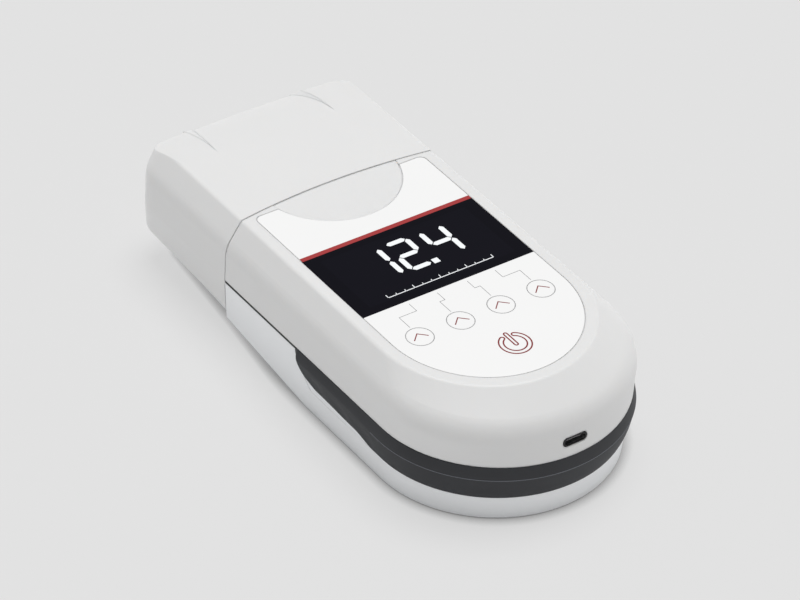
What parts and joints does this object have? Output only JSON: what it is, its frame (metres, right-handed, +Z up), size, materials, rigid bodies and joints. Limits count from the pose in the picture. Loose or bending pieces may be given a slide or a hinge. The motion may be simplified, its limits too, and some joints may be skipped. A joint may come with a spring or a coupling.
{
  "type": "portable turbidimeter",
  "caption": "Hand-held turbidimeter with a round nose, rubber bumper, flush key panel and display, and a hinged lid over the sample well.",
  "frame": {"origin": "under the middle of the instrument, on the surface it stands on", "axes": "+Z up, nose with the connector towards -Y, lid and its hinge towards +Y, +X to the right seen from the nose"},
  "size_m": [0.093, 0.196, 0.044],
  "materials": {
    "upper_shell": "fine satin moulding",
    "lower_shell": "fine satin moulding, slightly cooler grey",
    "panel_film": "printed film, low sheen",
    "display_glass": "black tinted window",
    "bumper_rubber": "soft matt moulded rubber",
    "foot_rubber": "matt",
    "soft_rubber": "matt seal",
    "silicone": "translucent grey",
    "black_plastic": "light-absorbing matt",
    "circuit_board": "solder mask",
    "ribbon": "flat cable",
    "clear_lens": "clear",
    "cell_jacket": "plain jacket",
    "steel": "plated",
    "magnet": "nickel plated"
  },
  "bodies": {
    "housing": {"top_shell": "upper_shell", "bottom_shell": "lower_shell", "hinge_pin": "steel", "bumper": "bumper_rubber", "joint_seal": "soft_rubber", "keypad_overlay": "panel_film", "top_overlay": "panel_film", "display_window": "display_glass", "display_module": "black_plastic", "ui_board": "circuit_board", "dome_sheet": "silicone", "main_board": "circuit_board", "usb_socket": "steel", "sample_well": "black_plastic", "optics_block": "black_plastic", "light_source": "clear_lens", "source_lens": "clear_lens", "transmission_sensor": "steel", "scatter_sensor": "steel", "sensor_board": "circuit_board", "ribbon_cable": "ribbon", "battery_cells": "cell_jacket", "cell_contacts": "steel", "cell_springs": "steel", "battery_door": "lower_shell", "door_screw": "steel", "housing_screws": "steel", "main_board_screws": "steel", "ui_board_screws": "steel", "body_magnets": "magnet", "foot_1": "foot_rubber", "foot_2": "foot_rubber", "foot_3": "foot_rubber", "foot_4": "foot_rubber"},
    "lid": {"lid_shell": "upper_shell", "lid_liner": "black_plastic", "lid_seal": "soft_rubber", "lid_magnets": "magnet"},
    "key_1": {"key_1": "panel_film"},
    "key_2": {"key_2": "panel_film"},
    "key_3": {"key_3": "panel_film"},
    "key_4": {"key_4": "panel_film"},
    "power_key": {"power_key": "panel_film"}
  },
  "joints": [
    {"name": "lid_hinge", "type": "hinge", "parent": "housing", "child": "lid", "pos_m": [0, 0.0926, 0.0142], "axis": [-1, 0, 0], "range_deg": [0, 95]},
    {"name": "key_1_press", "type": "slide", "parent": "housing", "child": "key_1", "axis": [0, 0, -1], "range_m": [0, 0.00035], "stiffness_N_per_m": 1500},
    {"name": "key_2_press", "type": "slide", "parent": "housing", "child": "key_2", "axis": [0, 0, -1], "range_m": [0, 0.00035], "stiffness_N_per_m": 1500},
    {"name": "key_3_press", "type": "slide", "parent": "housing", "child": "key_3", "axis": [0, 0, -1], "range_m": [0, 0.00035], "stiffness_N_per_m": 1500},
    {"name": "key_4_press", "type": "slide", "parent": "housing", "child": "key_4", "axis": [0, 0, -1], "range_m": [0, 0.00035], "stiffness_N_per_m": 1500},
    {"name": "power_key_press", "type": "slide", "parent": "housing", "child": "power_key", "axis": [0, 0, -1], "range_m": [0, 0.00035], "stiffness_N_per_m": 1500}
  ]
}
